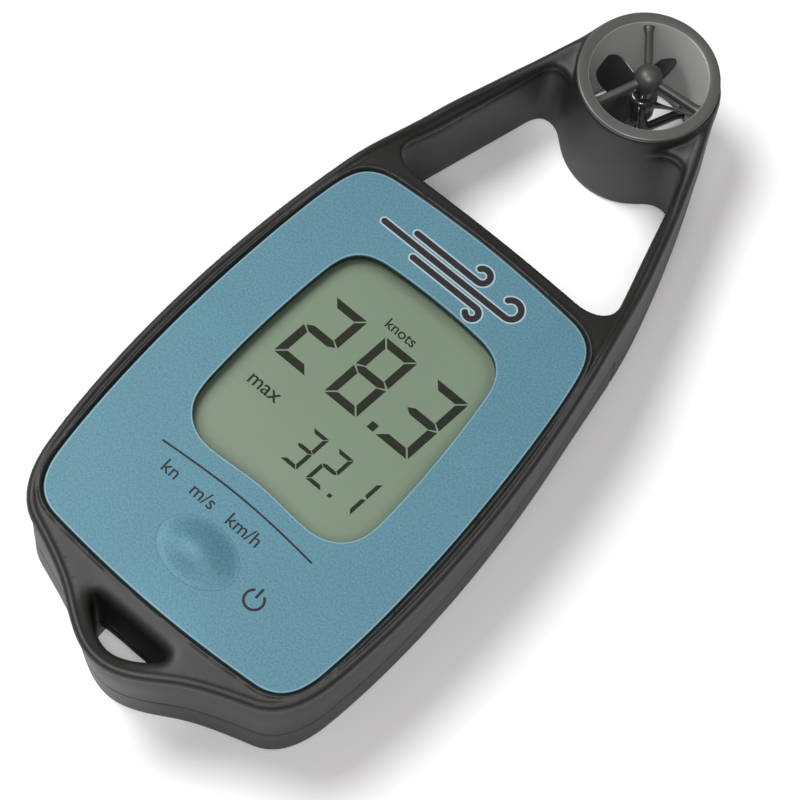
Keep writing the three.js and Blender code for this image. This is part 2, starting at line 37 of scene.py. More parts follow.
# ------------------------------------------------------------------ driving dimensions, as in the CAD
LENGTH = 135.6
WIDTH = 57.6
FACE_Z = 22.5          # top of the overlay
BORDER_Z = 23.0        # top of the border round it
SPLIT_Z = 8.3          # parting plane of the two housings
HANDLE_Y = 22.0        # beyond this the arms are one piece with the front housing
TUBE_R = 11.1
TUBE_Y = LENGTH / 2 - TUBE_R
RIM_Z = 22.2
ARM_ROOT = 1.8         # how deep in the tube's wall the arms begin
BORE_R = 10.25         # hole in the housing for the turbine sleeve
DUCT_R = 9.2
LCD_TOP = 20.6
PANEL_WIDTH, PANEL_LOW, PANEL_HIGH = 35.0, -35.6, 8.4
CEILING_Z = 20.7       # inside of the front housing, under the overlay
SKIN = 1.8             # wall across the back
THREAD_TOP = 17.0      # end of the screw holes in the front housing
KEY_Y, KEY_RX, KEY_RY = -46.2, 6.7, 4.8
CELL_Y = -22.0
COVER_R = 12.4
LOOP_RELIEF_Z, LOOP_RELIEF = 5.0, 1.7     # the lanyard hole leans back below this height
SCREWS = [(21.2, 9.2), (-21.2, 9.2), (20.4, -46.5), (-20.4, -46.5)]
STRUTS = (7, 127, 247)      # the upper spider's bars, in degrees
VANES = 5

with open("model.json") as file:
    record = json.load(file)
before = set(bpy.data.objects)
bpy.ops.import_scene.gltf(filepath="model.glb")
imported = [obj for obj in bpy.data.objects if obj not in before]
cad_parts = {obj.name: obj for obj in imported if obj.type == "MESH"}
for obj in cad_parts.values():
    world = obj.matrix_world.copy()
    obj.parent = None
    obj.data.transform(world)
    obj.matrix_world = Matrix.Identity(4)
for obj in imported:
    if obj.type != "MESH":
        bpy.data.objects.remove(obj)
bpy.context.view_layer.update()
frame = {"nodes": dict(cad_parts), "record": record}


# ------------------------------------------------------------------ camera
def add_camera():
    camera = bpy.data.objects.new("camera", bpy.data.cameras.new("camera"))
    camera.data.sensor_width = 36
    camera.data.lens = 132.1
    camera.data.clip_start = 0.01
    right = Vector((0.7591, 0.6476, 0.0657))
    up = Vector((-0.6219, 0.6916, 0.3674))
    back = right.cross(up)
    turn = Matrix((right, up, back)).transposed().to_4x4()
    camera.matrix_world = Matrix.Translation(Vector((88.2, TUBE_Y - 202.2, FACE_Z + 394.8)) * MM) @ turn
    bpy.context.scene.collection.objects.link(camera)
    bpy.context.scene.camera = camera


add_camera()


# ------------------------------------------------------------------ outlines
def smooth(value, low, high):
    """0 below low, 1 above high and an S-shaped step between them."""
    t = np.clip((value - low) / (high - low), 0, 1)
    return t * t * (3 - 2 * t)


class Pen:
    """Collects the points of an outline's right side, drawn from the turbine end to the lanyard end."""

    def __init__(self, x, y):
        self.points = [(x, y)]

    def line(self, x, y):
        self.points.append((x, y))
        return self

    def curve(self, c1, c2, end, steps=24):
        p0 = self.points[-1]
        for i in range(1, steps + 1):
            t = i / steps
            a, b, c, d = (1 - t) ** 3, 3 * t * (1 - t) ** 2, 3 * t * t * (1 - t), t ** 3
            self.points.append(tuple(a * p0[k] + b * c1[k] + c * c2[k] + d * end[k] for k in (0, 1)))
        return self

    def quad(self, c, end, steps=16):
        p0 = self.points[-1]
        c1 = tuple(p0[k] + (c[k] - p0[k]) * 2 / 3 for k in (0, 1))
        c2 = tuple(end[k] + (c[k] - end[k]) * 2 / 3 for k in (0, 1))
        return self.curve(c1, c2, end, steps)

    def tube_arc(self, start, end, steps=24):
        """Along the turbine tube, starting inside its wall so that only the arms' ends meet it."""
        for i in range(steps + 1):
            angle = start + (end - start) * i / steps
            radius = TUBE_R - ARM_ROOT * (1 - smooth(i / steps, 0.7, 1))
            self.points.append((max(0.0, radius * math.cos(angle)), TUBE_Y + radius * math.sin(angle)))
        return self

    def mirrored(self, step=0.5):
        right = np.array(self.points)
        left = right[::-1] * (-1, 1)
        keep = np.abs(left[:, 0]) > 1e-6
        return resample(np.vstack([right, left[keep]])[::-1], step)


def resample(loop, step):
    """Even spacing round a closed loop."""
    closed = np.vstack([loop, loop[:1]])
    lengths = np.r_[0, np.cumsum(np.hypot(*np.diff(closed, axis=0).T))]
    count = max(12, int(round(lengths[-1] / step)))
    at = np.linspace(0, lengths[-1], count, endpoint=False)
    return np.stack([np.interp(at, lengths, closed[:, k]) for k in (0, 1)], 1)


def offset(loop, distance):
    """Moves a counter-clockwise loop outwards along its normals."""
    along = np.roll(loop, -1, 0) - np.roll(loop, 1, 0)
    along /= np.linalg.norm(along, axis=1, keepdims=True)
    return loop + np.stack([along[:, 1], -along[:, 0]], 1) * distance


def oval(rx, ry, x=0.0, y=0.0, count=96):
    angle = np.linspace(0, 2 * math.pi, count, endpoint=False)
    return np.stack([x + rx * np.cos(angle), y + ry * np.sin(angle)], 1)


def rounded_box(x0, x1, y0, y1, r, steps=6):
    corners = ((x1 - r, y1 - r, 0), (x0 + r, y1 - r, 90), (x0 + r, y0 + r, 180), (x1 - r, y0 + r, 270))
    points = []
    for cx, cy, start in corners:
        for i in range(steps + 1):
            angle = math.radians(start + 90 * i / steps)
            points.append((cx + r * math.cos(angle), cy + r * math.sin(angle)))
    return np.array(points)


def meter_outline():
    leave, reach, half = math.radians(25), 11.4, WIDTH / 2
    x, y = TUBE_R * math.cos(leave), TUBE_Y + TUBE_R * math.sin(leave)
    pen = Pen(0, TUBE_Y + TUBE_R - ARM_ROOT).tube_arc(math.pi / 2, leave)
    start = (x + reach * math.sin(leave), y - reach * math.cos(leave))      # straight on from the tube
    pen.curve(start, (half, 18.1), (half, -25.1), 60)
    pen.curve((half, -35.1), (28, -43.1), (27.2, -48.1))
    pen.curve((26.6, -52.1), (24.8, -56.5), (21, -58.1))
    pen.curve((17.8, -59.3), (13.2, -61), (10, -63.2))
    return pen.curve((7.2, -65.1), (4, -LENGTH / 2), (0, -LENGTH / 2)).mirrored()


def overlay_outline():
    pen = Pen(0, 17.9).quad((8.5, 17.8), (16.5, 17.1))
    pen.curve((20.3, 16.8), (22.4, 15.2), (23.3, 11.4)).curve((24.5, 6.9), (26.3, -10.1), (26.3, -25.1), 40)
    pen.curve((26.3, -34), (25.9, -42), (25, -48.6)).curve((24.3, -52.6), (22.6, -54.9), (19, -55.4))
    return pen.quad((9, -56.4), (0, -56.4)).mirrored()


def window_outline():
    pen = Pen(0, 6.1).quad((5, 6.1), (9, 5.7)).curve((12.6, 5.3), (14.7, 3.6), (15.3, -0.6))
    pen.curve((15.9, -5), (16.6, -13), (16.6, -20.6)).curve((16.6, -24), (16.6, -26), (16.3, -27.6))
    pen.curve((15.8, -31), (13, -33.3), (9.2, -33.3)).curve((6, -33.3), (3.5, -32.8), (0, -32.8))
    return pen.mirrored(0.4)


def grip_outline():
    half = 7                # of the tube's width that shows between the arms
    drop = math.sqrt(TUBE_R ** 2 - half ** 2)
    pen = Pen(0, TUBE_Y - TUBE_R + ARM_ROOT).tube_arc(-math.pi / 2, math.atan2(-drop, half))
    pen.curve((8.6, 49.1), (9.6, 50.3), (11.3, 50.3)).curve((12.7, 50.3), (13.2, 49.4), (13.7, 48.1))
    pen.line(20.1, 25.6).curve((21.2, 22.4), (19.4, 20.3), (15.8, 20.2))
    return pen.quad((8, 20.6), (0, 20.6)).mirrored()


def lanyard_outline():
    pen = Pen(0, -59.6).line(5.4, -59.6).curve((7.4, -59.6), (7.9, -60.8), (6.2, -62.3))
    return pen.curve((4.4, -64), (2, -65.4), (0, -65.4)).mirrored(0.3)


METER, OVERLAY, WINDOW = meter_outline(), overlay_outline(), window_outline()
GRIP, LANYARD = grip_outline(), lanyard_outline()


# ------------------------------------------------------------------ meshes
def piece(name, points, faces, body, slot, material, replaces=(), smooth_angle=35):
    """A mesh from millimetre points that rides on a CAD body."""
    mesh = bpy.data.meshes.new(name)
    mesh.from_pydata((np.asarray(points, float) * MM).tolist(), [], faces)
    mesh.validate()
    if smooth_angle:
        mesh.shade_smooth()
        mesh.set_sharp_from_angle(angle=math.radians(smooth_angle))
    mesh.materials.append(material)
    obj = bpy.data.objects.new(name, mesh)
    bpy.context.scene.collection.objects.link(obj)
    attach(obj, body)
    if replaces:
        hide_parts(*replaces)
    return obj


def filled(loops, z, creases=()):
    """Flat triangles between the first loop and the holes that follow it, with edges along the creases."""
    edges, start = [], 0
    for loop in [*loops, *creases]:
        n = len(loop)
        edges += [(start + i, start + (i + 1) % n) for i in range(n)]
        start += n
    points = np.vstack([*loops, *creases])
    vectors = [Vector(p) for p in points.tolist()]
    within_outline, tolerance = 1, 1e-7
    _, _, faces, sources, _, _ = delaunay_2d_cdt(vectors, edges, [], within_outline, tolerance)
    points = points[[source[0] for source in sources]]
    triangles = []
    for face in faces:
        middle = points[list(face)].mean(axis=0)
        if not any(inside(hole, middle) for hole in loops[1:]):
            triangles.append(list(face))
    return [(x, y, z) for x, y in points], triangles


def inside(loop, point):
    x, y = loop[:, 0] - point[0], loop[:, 1] - point[1]
    x2, y2 = np.roll(x, -1), np.roll(y, -1)
    crosses = (y > 0) != (y2 > 0)
    with np.errstate(divide="ignore", invalid="ignore"):
        at = x + (x2 - x) * (-y) / (y2 - y)
    return bool(np.count_nonzero(crosses & (at > 0)) % 2)


def plate(loops, rings, creases=()):
    """A plate: loops are the outline and its holes, rings are (inset, z) from the bottom up.

    Creases are closed lines that the top face's edges follow.
    """
    points, faces = [], []
    signs = [-1] + [1] * (len(loops) - 1)
    placed = [[(offset(loop, sign * inset), z) for inset, z in rings] for loop, sign in zip(loops, signs)]
    for levels, sign in zip(placed, signs):
        n = len(levels[0][0])
        start = len(points)
        for ring, z in levels:
            points += [(x, y, z) for x, y in ring]
        for level in range(len(levels) - 1):
            for i in range(n):
                a, b = start + level * n + i, start + level * n + (i + 1) % n
                faces.append([a, b, b + n, a + n] if sign < 0 else [b, a, a + n, b + n])
    for level, flip in ((0, True), (-1, False)):
        along = () if flip else creases
        cap, triangles = filled([levels[level][0] for levels in placed], placed[0][level][1], along)
        start = len(points)
        points += cap
        faces += [[start + i for i in (t[::-1] if flip else t)] for t in triangles]
    return points, faces


def lathe(profile, x=0.0, y=TUBE_Y, count=96, closed=False):
    """Turns a (radius, z) profile about Z; it starts and ends on the axis unless closed."""
    points, faces, rows = [], [], []
    for r, z in profile:
        if r < 1e-6:
            rows.append([len(points)] * count)
            points.append((x, y, z))
        else:
            rows.append(list(range(len(points), len(points) + count)))
            for i in range(count):
                angle = 2 * math.pi * i / count
                points.append((x + r * math.cos(angle), y + r * math.sin(angle), z))
    pairs = list(zip(rows, rows[1:])) + ([(rows[-1], rows[0])] if closed else [])
    for low, high in pairs:
        for i in range(count):
            j = (i + 1) % count
            face = [low[i], low[j], high[j], high[i]]
            faces.append(list(dict.fromkeys(face)))
    return points, [f for f in faces if len(f) > 2]


def eased(profile, radius, steps=4):
    """The same open profile with its inner corners rounded."""
    out = [profile[0]]
    for before, corner, after in zip(profile, profile[1:], profile[2:]):
        a, c, b = (np.array(p, float) for p in (before, corner, after))
        la, lb = np.linalg.norm(a - c), np.linalg.norm(b - c)
        reach = min(radius, la * 0.45, lb * 0.45)
        p, q = c + (a - c) / la * reach, c + (b - c) / lb * reach
        for i in range(steps + 1):
            t = i / steps
            out.append(tuple((1 - t) ** 2 * p + 2 * t * (1 - t) * c + t * t * q))
    return out + [profile[-1]]


def merged(*parts):
    points, faces = [], []
    for more_points, more_faces in parts:
        start = len(points)
        points += list(more_points)
        faces += [[start + i for i in face] for face in more_faces]
    return points, faces


def loft(sections):
    """Skins a list of equal closed sections, each a list of 3-D points, and caps both ends."""
    n = len(sections[0])
    points = [tuple(p) for section in sections for p in section]
    faces = []
    for level in range(len(sections) - 1):
        for i in range(n):
            a, b = level * n + i, level * n + (i + 1) % n
            faces.append([a, b, b + n, a + n])
    faces.append(list(range(n))[::-1])
    faces.append([len(points) - n + i for i in range(n)])
    return points, faces


# ------------------------------------------------------------------ housings: smooth distance fields
VOXEL = 0.18
FLATNESS = 0.03         # how readily neighbouring flat cells merge into one face
GRID_X = np.arange(-31, 31 + VOXEL, VOXEL, dtype=np.float32)
GRID_Y = np.arange(-69.5, 69.5 + VOXEL, VOXEL, dtype=np.float32)
X2, Y2 = np.meshgrid(GRID_X, GRID_Y, indexing="ij")


def distance_map(loop):
    """Signed distance to a closed loop on the grid, negative inside."""
    best = np.full(X2.shape, 1e9, np.float32)
    odd = np.zeros(X2.shape, bool)
    for (ax, ay), (bx, by) in zip(loop.astype(np.float32), np.roll(loop, -1, 0).astype(np.float32)):
        ex, ey = bx - ax, by - ay
        px, py = X2 - ax, Y2 - ay
        t = np.clip((px * ex + py * ey) / (ex * ex + ey * ey), 0, 1)
        np.minimum(best, (px - t * ex) ** 2 + (py - t * ey) ** 2, out=best)
        if ay != by:
            crosses = (Y2 < ay) != (Y2 < by)
            odd ^= crosses & (X2 < ax + (Y2 - ay) * ex / ey)
    return np.where(odd, -1, 1) * np.sqrt(best)


def sample(field, x, y):
    """Bilinear lookup of a grid field at other places."""
    u = np.clip((x - GRID_X[0]) / VOXEL, 0, len(GRID_X) - 1.001)
    v = np.clip((y - GRID_Y[0]) / VOXEL, 0, len(GRID_Y) - 1.001)
    i, j = u.astype(np.int32), v.astype(np.int32)
    u, v = u - i, v - j
    return ((field[i, j] * (1 - u) + field[i + 1, j] * u) * (1 - v)
            + (field[i, j + 1] * (1 - u) + field[i + 1, j + 1] * u) * v)


def smax(a, b, k):
    """The larger of two fields, with the corner where they meet rounded over k."""
    h = np.maximum(k - np.abs(a - b), 0) / k
    return np.maximum(a, b) + h * h * k / 4


def smin(a, b, k):
    """The smaller of two fields, with the corner where they meet rounded over k."""
    return -smax(-a, -b, k)


def bump(value, width):
    """A bell of height 1 about zero."""
    return np.exp(-(value / width) ** 2)


# Outlines are sampled a little coarser here, because the grid cannot show more.
D_METER, D_OVERLAY, D_WINDOW, D_GRIP, D_LANYARD = (
    distance_map(resample(loop, step)) for loop, step in
    ((METER, 1.0), (OVERLAY, 1.2), (WINDOW, 1.2), (GRIP, 0.8), (LANYARD, 0.5)))
FROM_AXIS = np.hypot(X2, Y2 - TUBE_Y)           # distance from the turbine's axis

ARM = smooth(Y2, 15, 31)                        # 0 on the body, 1 on the arms
BODY = 1 - ARM
SPAN = ARM * (1 - smooth(Y2, 42, 48))           # the arms' free length
DIP = 3.1 * ARM + 0.9 * smooth(Y2, 31, 43) - 1.9 * smooth(Y2, 47, 62)   # how far the arms drop
GROOVE = 0.36 * (1 - 0.8 * smooth(-Y2, 44, 56))
CROWN = (BORDER_Z - DIP                                                 # height of the outer bead
         - BODY * 0.22 * smooth(-D_METER, 0.9, 1.6)                     # the border lies a little lower
         - BODY * GROOVE * bump(-D_METER - 1.4, 0.38)                   # dip between bead and rim
         + BODY * 0.34 * bump(D_OVERLAY - 0.58, 0.24)                   # fine rim round the overlay
         - BODY * 0.45 * bump(D_OVERLAY - 0.05, 0.22)                   # gap beside it
         - ARM * 1.2 * smooth(-D_METER, 0.9, 2.1) * (1 - 0.7 * smooth(Y2, 43, 50))   # arms fall inwards
         - SPAN * 0.25 * bump(-D_METER - 1.3, 0.35)                     # dip along the arms
         + SPAN * 0.35 * bump(D_GRIP - 0.5, 0.35))                      # bead along the grip window


def lanyard_opening(x, y, z):
    """Distance to the lanyard hole, which leans back towards the body near the surface it lies on."""
    opening = sample(D_LANYARD, x, y)
    if z < LOOP_RELIEF_Z:
        for share in (0.33, 0.67, 1):
            back = LOOP_RELIEF * (1 - z / LOOP_RELIEF_Z) * share
            opening = np.minimum(opening, sample(D_LANYARD, x, y - back))
    return opening


def outer_field(z):
    """Both housings together at one height, without openings to the inside."""
    depth = 1 - z / BORDER_Z
    spread = 0.3 + 1.0 * smooth(Y2, 6, 30)                  # the walls lean out towards the back
    x = X2 - np.sign(X2) * spread * np.minimum(1, np.abs(X2) / 12) * depth
    y = Y2 - 1.5 * smooth(-Y2, 54, 66) * depth              # the lanyard end draws in
    below = BORDER_Z - DIP - z
    inset = ((0.85 - 0.35 * ARM) * smooth(below, 2.0, 2.4)      # under the lip
             - (0.40 - 0.20 * ARM) * smooth(below, 2.7, 8)      # the wall comes out again
             + (0.45 - 0.30 * ARM) * bump(below - 2.6, 0.45))   # groove between them
    solid = smax(sample(D_METER, x, y) + inset, z - CROWN, 1.2)
    lip = BORDER_Z - 4.2 * ARM - z
    step_back = 0.1 * smooth(lip, 1.4, 2.0) + 0.38 * bump(lip - 2.1, 0.5)
    grip = sample(D_GRIP, X2 / (1 + 0.02 * depth), Y2) - step_back
    solid = smax(solid, -grip, 1.0)
    solid = smax(solid, -0.3 - lanyard_opening(x, y, z), 2.2 if z > SPLIT_Z else 0.5)
    tube_top = RIM_Z - 0.8
    tube = smax(FROM_AXIS - (TUBE_R - 0.05 + 0.3 * depth), z - tube_top, 0.1)
    fairing = 0.4 + 1.4 * smooth(Y2, 51, 56)
    solid = smin(solid, tube, fairing) if z < tube_top else np.minimum(solid, tube)
    solid = smax(solid, -z, 0.7)
    return np.maximum(solid, BORE_R - FROM_AXIS)


def hole(x, y, radius):
    """Field of everything but a round hole."""
    return radius - np.hypot(X2 - x, Y2 - y)


def front_field(z):
    """The front housing at one height."""
    solid = outer_field(z)
    solid = smax(solid, np.minimum(SPLIT_Z + 0.02 - z, HANDLE_Y + 0.03 - Y2), 0.14)
    if z > FACE_Z - 1:                                      # bed of the overlay
        solid = np.maximum(solid, -np.maximum(D_OVERLAY - 0.14, FACE_Z - 0.4 - z))
    key_rx, key_ry = KEY_RX + 0.4, KEY_RY + 0.4
    key = (np.hypot(X2 / key_rx, (Y2 - KEY_Y) / key_ry) - 1) * KEY_RY
    solid = np.maximum(solid, -np.minimum(D_WINDOW - 0.02, key))
    solid = np.maximum(solid, -np.maximum(D_OVERLAY + 0.3, z - CEILING_Z))
    for x, y in SCREWS:
        boss = np.maximum(np.hypot(X2 - x, Y2 - y) - 2.4, SPLIT_Z + 0.04 - z)
        solid = np.minimum(solid, np.maximum(boss, z - CEILING_Z - 0.3))
        if z < THREAD_TOP:
            solid = np.maximum(solid, hole(x, y, 1.05))
    return solid


def rear_field(z):
    """The rear housing at one height."""
    solid = outer_field(z)
    solid = smax(solid, np.maximum(z - SPLIT_Z + 0.02, Y2 - HANDLE_Y + 0.08), 0.14)
    solid = np.maximum(solid, -np.maximum(D_OVERLAY + 0.3, SKIN - z))
    well = np.maximum(np.hypot(X2, Y2 - CELL_Y) - 15.2, z - SPLIT_Z + 0.8)      # wall round the coin cell
    solid = np.minimum(solid, np.maximum(well, 0.6 - z))
    for x, y in SCREWS:
        boss = np.maximum(np.hypot(X2 - x, Y2 - y) - 3.8, np.maximum(z - SPLIT_Z + 0.04, 0.6 - z))
        solid = np.minimum(solid, np.maximum(boss, D_METER + 1))
        solid = np.maximum(solid, hole(x, y, 1.3))
        if z < 4:
            solid = smax(solid, hole(x, y, 2.5), 0.3)
    solid = smax(solid, hole(0, CELL_Y, COVER_R + 0.2), 0.5)
    if 1 < z < 2.9:                                         # groove for the cover's lugs
        solid = np.maximum(solid, hole(0, CELL_Y, 13.7))
    return solid


def evened(values):
    """Averages neighbouring cells, which takes the grid's steps out of the surface."""
    for axis in range(3):
        before, after = np.roll(values, 1, axis), np.roll(values, -1, axis)
        values = (before + 2 * values + after) / 4
    return values


def housing(name, field, z0, z1, material):
    """Meshes a field between two heights, with larger faces where it is flat."""
    levels = np.arange(z0, z1 + VOXEL, VOXEL)
    band = 3 * VOXEL
    values = np.stack([np.clip(field(float(z)), -band, band) for z in levels], 2).astype(np.float32)
    grid = openvdb.FloatGrid(band)
    grid.copyFromArray(evened(values))
    points, triangles, quads = grid.convertToPolygons(0.0, FLATNESS)
    points = points * VOXEL + (GRID_X[0], GRID_Y[0], z0)
    a, b, c = (points[quads[:, k]] for k in range(3))
    if np.einsum("ij,ij->", a, np.cross(b, c)) < 0:
        triangles, quads = triangles[:, ::-1], quads[:, ::-1]
    faces = triangles.tolist() + quads.tolist()
    piece(name, points, faces, "case", "housing", material, [name], 50)


# ------------------------------------------------------------------ materials
def new_material(name):
    material = bpy.data.materials.new(name)
    material.use_nodes = True
    return material, material.node_tree, material.node_tree.nodes["Principled BSDF"]


def plastic(name, colour, roughness, *, vary=0.12, grain=0.00025, bump=0.12, rough_vary=0.1, metallic=0.0,
            coat=0.0, coat_roughness=0.1, specular=0.5, blotch=0.012):
    """Moulded surface: slow colour drift, fine grain in the bump and patches of gloss."""
    material, tree, shader = new_material(name)
    nodes, links = tree.nodes, tree.links
    place = nodes.new("ShaderNodeTexCoord")
    slow, fine = nodes.new("ShaderNodeTexNoise"), nodes.new("ShaderNodeTexNoise")
    slow.inputs["Scale"].default_value = 1 / blotch
    slow.inputs["Detail"].default_value = 4
    fine.inputs["Scale"].default_value = 1 / grain
    fine.inputs["Detail"].default_value = 2
    for texture in (slow, fine):
        links.new(place.outputs["Object"], texture.inputs["Vector"])
    ramp = nodes.new("ShaderNodeValToRGB")
    ramp.color_ramp.elements[0].position = 0.3
    ramp.color_ramp.elements[1].position = 0.7
    ramp.color_ramp.elements[0].color = (*[c * (1 - vary) for c in colour], 1)
    ramp.color_ramp.elements[1].color = (*[min(1, c * (1 + vary)) for c in colour], 1)
    links.new(slow.outputs["Fac"], ramp.inputs["Fac"])
    links.new(ramp.outputs["Color"], shader.inputs["Base Color"])
    gloss = nodes.new("ShaderNodeMapRange")
    gloss.inputs["To Min"].default_value = roughness - rough_vary / 2
    gloss.inputs["To Max"].default_value = roughness + rough_vary / 2
    links.new(slow.outputs["Fac"], gloss.inputs["Value"])
    links.new(gloss.outputs["Result"], shader.inputs["Roughness"])
    dent = nodes.new("ShaderNodeBump")
    dent.inputs["Strength"].default_value = bump
    dent.inputs["Distance"].default_value = 0.00003
    links.new(fine.outputs["Fac"], dent.inputs["Height"])
    links.new(dent.outputs["Normal"], shader.inputs["Normal"])
    shader.inputs["Metallic"].default_value = metallic
    shader.inputs["Coat Weight"].default_value = coat
    shader.inputs["Coat Roughness"].default_value = coat_roughness
    shader.inputs["Specular IOR Level"].default_value = specular
    return material


def multiply(material, factor):
    """Multiplies a finish's base colour by a node's output."""
    nodes, links = material.node_tree.nodes, material.node_tree.links
    colour = nodes["Principled BSDF"].inputs["Base Color"]
    mix = nodes.new("ShaderNodeMix")
    mix.data_type = "RGBA"
    mix.blend_type = "MULTIPLY"
    mix.inputs["Factor"].default_value = 1.0
    links.new(colour.links[0].from_socket, mix.inputs["A"])
    links.new(factor, mix.inputs["B"])
    links.new(mix.outputs["Result"], colour)


def overlay_film():
    """Satin printed film with a fine metallic grain."""
    material = plastic("overlay_film", (0.075, 0.184, 0.236), 0.50, vary=0.03, grain=0.0004, bump=0.1,
                       specular=0.25)
    nodes, links = material.node_tree.nodes, material.node_tree.links
    place, speck, levels = (nodes.new("ShaderNode" + kind) for kind in ("TexCoord", "TexNoise", "MapRange"))
    speck.inputs["Scale"].default_value = 3200
    speck.inputs["Detail"].default_value = 3
    levels.inputs["From Min"].default_value = 0.3
    levels.inputs["From Max"].default_value = 0.7
    levels.inputs["To Min"].default_value = 0.80
    levels.inputs["To Max"].default_value = 1.18
    links.new(place.outputs["Object"], speck.inputs["Vector"])
    links.new(speck.outputs["Fac"], levels.inputs["Value"])
    multiply(material, levels.outputs["Result"])
    nodes["Principled BSDF"].inputs["Metallic"].default_value = 0.15
    return material


def clear_window():
    """Clear pane that only adds its gloss to what lies under it."""
    material, _, shader = new_material("clear_window")
    shader.inputs["Base Color"].default_value = (0.02, 0.02, 0.02, 1)
    shader.inputs["Roughness"].default_value = 0.05
    shader.inputs["Alpha"].default_value = 0.10
    return material


def cartridge_plastic():
    """Dark satin rim whose duct wall inside is lighter in colour, partly its own paler tone and partly a
    painted reflection of the bright surroundings.
    """
    material = plastic("cartridge_plastic", (0.060, 0.061, 0.058), 0.33, vary=0.05, bump=0.12)
    nodes, links = material.node_tree.nodes, material.node_tree.links
    colour = nodes["Principled BSDF"].inputs["Base Color"]
    place, centre, flat, length, inner, mix = (
        nodes.new("ShaderNode" + kind)
        for kind in ("TexCoord", "VectorMath", "VectorMath", "VectorMath", "MapRange", "Mix"))
    centre.operation = "SUBTRACT"
    centre.inputs[1].default_value = (0, TUBE_Y * MM, 0)
    flat.operation = "MULTIPLY"
    flat.inputs[1].default_value = (1, 1, 0)
    length.operation = "LENGTH"
    inner.inputs["From Min"].default_value = (DUCT_R + 0.06) * MM
    inner.inputs["From Max"].default_value = (DUCT_R + 0.14) * MM
    inner.inputs["To Min"].default_value = 1
    inner.inputs["To Max"].default_value = 0
    links.new(place.outputs["Object"], centre.inputs[0])
    links.new(centre.outputs["Vector"], flat.inputs[0])
    links.new(flat.outputs["Vector"], length.inputs[0])
    links.new(length.outputs["Value"], inner.inputs["Value"])
    mix.data_type = "RGBA"
    # lighter duct wall: partly its own tone, partly a painted reflection of the bright surroundings
    mix.inputs["B"].default_value = (0.42, 0.42, 0.415, 1)
    links.new(inner.outputs["Result"], mix.inputs["Factor"])
    links.new(colour.links[0].from_socket, mix.inputs["A"])
    links.new(mix.outputs["Result"], colour)
    return material


def display_glass():
    """Reflective display whose colour is darkened by a painted shade along the window's edge."""
    material = plastic("display_glass", (0.207, 0.290, 0.191), 0.35, vary=0.04, bump=0.03, blotch=0.03)
    shade = material.node_tree.nodes.new("ShaderNodeAttribute")
    shade.attribute_name = "painted_edge_shade"
    multiply(material, shade.outputs["Fac"])
    return material


HOUSING = plastic("housing_plastic", (0.0115, 0.0115, 0.0108), 0.52, vary=0.06, bump=0.25, rough_vary=0.06,
                  specular=0.42)
RIM = cartridge_plastic()
SPIDER = plastic("spider_plastic", (0.032, 0.032, 0.031), 0.42, vary=0.05, bump=0.1)
FILM = overlay_film()
CLEAR = clear_window()
PANEL = display_glass()
INK = plastic("segment_ink", (0.018, 0.024, 0.014), 0.5, vary=0.05, bump=0.05, specular=0.1)
PRINT = plastic("black_print", (0.012, 0.012, 0.015), 0.5, vary=0.05, bump=0.05, specular=0.2)
# colour of the painted highlights along the film's cut edges
EDGE_HIGHLIGHT = plastic("film_edge_highlight", (0.170, 0.270, 0.310), 0.4, vary=0.03, bump=0.05)
PALE = plastic("pale_print", (0.30, 0.38, 0.41), 0.4, vary=0.03, bump=0.05)
BLACK = plastic("gloss_black", (0.008, 0.008, 0.009), 0.07, vary=0.05, bump=0.02, rough_vary=0.04, coat=0.4)
VANE = plastic("vane_plastic", (0.014, 0.014, 0.014), 0.18, vary=0.05, bump=0.03, coat=0.3)
STEEL = plastic("turned_steel", (0.62, 0.62, 0.63), 0.09, metallic=1.0, vary=0.05, bump=0.05)
PLATED = plastic("plated_strip", (0.50, 0.49, 0.46), 0.28, metallic=1.0, vary=0.06, bump=0.05)
BRASS = plastic("terminal_metal", (0.55, 0.42, 0.24), 0.35, metallic=1.0)
RUBBER = plastic("seal_rubber", (0.014, 0.014, 0.014), 0.72, bump=0.3)
BOARD = plastic("board_resist", (0.012, 0.085, 0.030), 0.42)
CHIP = plastic("moulded_chip", (0.016, 0.016, 0.018), 0.55, bump=0.4)
MAGNET = plastic("sintered_magnet", (0.10, 0.10, 0.11), 0.38, metallic=0.9)
SLOT_LOOKS = {
    "housing": HOUSING, "cartridge": RIM, "overlay": FILM, "clear": CLEAR, "panel": PANEL, "black": BLACK,
    "seal": RUBBER, "board": BOARD, "chip": CHIP, "steel": STEEL, "plated": PLATED, "terminal": BRASS,
    "magnet": MAGNET,
}


def dress_cad_nodes():
    """The inner pieces keep their CAD shapes and take procedural finishes."""
    for entry in frame["record"]["subparts"]:
        mesh = frame["nodes"][entry["node"]].data
        mesh.materials.clear()
        mesh.materials.append(SLOT_LOOKS[entry["material_slot"]])


# ------------------------------------------------------------------ face
def edge(top, low, round_by=0.12):
    """Ring profile of a plate from low to top with its upper edge rounded."""
    return [(0, low), (0, top - round_by), (round_by * 0.3, top - round_by * 0.3), (round_by, top)]


def face_overlay():
    """The printed film, with pale lines painted along its cut edges as the highlights they catch."""
    key = oval(KEY_RX + 0.02, KEY_RY + 0.02, 0, KEY_Y)
    loops = [offset(OVERLAY, -0.10), offset(WINDOW, -0.03), key]
    points, faces = plate(loops, edge(FACE_Z, FACE_Z - 0.38, 0.02))
    piece("face_overlay", points, faces, "case", "overlay", FILM, ["face_overlay"])
    # painted highlights: thin pale strips along the film's outer edge and round the window
    lines = {"overlay_edge_highlight": offset(OVERLAY, -0.20), "window_edge_highlight": offset(WINDOW, 0.22)}
    for name, loop in lines.items():
        points, faces = plate([loop, offset(loop, -0.14)], [(0, FACE_Z - 0.1), (0, FACE_Z + 0.012)])
        piece(name, points, faces, "case", "overlay", EDGE_HIGHLIGHT)


